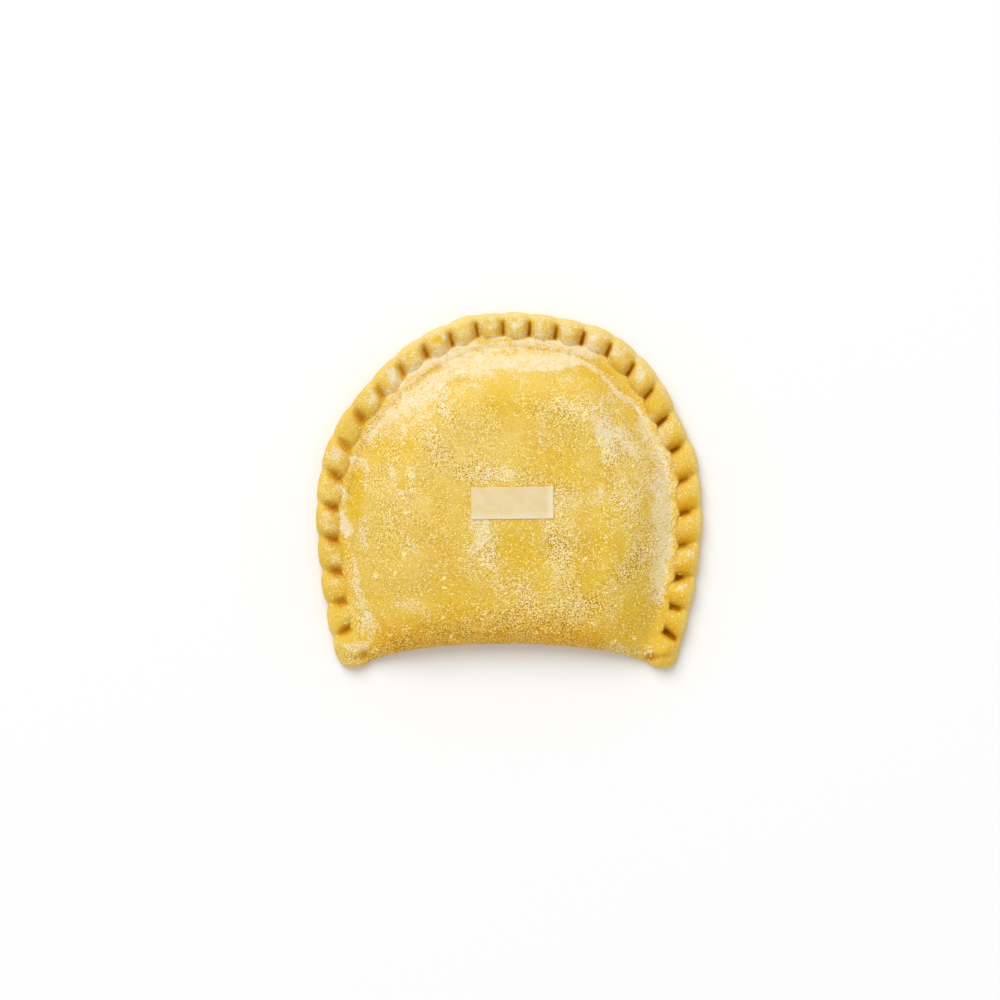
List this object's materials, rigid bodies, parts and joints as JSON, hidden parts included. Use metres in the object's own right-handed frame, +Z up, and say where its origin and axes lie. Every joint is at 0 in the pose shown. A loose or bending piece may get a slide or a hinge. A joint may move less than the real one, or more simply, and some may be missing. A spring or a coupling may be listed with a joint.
{
  "type": "pastry turnover",
  "caption": "Half-moon filled pastry turnover of floured yellow dough, with a crimped rim round the arch, a hollow folded edge and a small bare paper slip on its crown.",
  "frame": {"origin": "on the table, under the middle of the plan outline's box", "axes": "+X along the fold from the left corner to the right, +Y from the fold to the top of the arch, +Z up"},
  "size_m": [0.13, 0.1198, 0.0214],
  "materials": {
    "dough": "matt raw yellow dough, dusted and speckled with pale flour, rough and slightly waxy under the flour",
    "paper_slip": "thin soft paper, matt, a little see-through where it lies on the dough"
  },
  "bodies": {
    "root": {"pastry": "dough", "label": "paper_slip"}
  },
  "joints": []
}
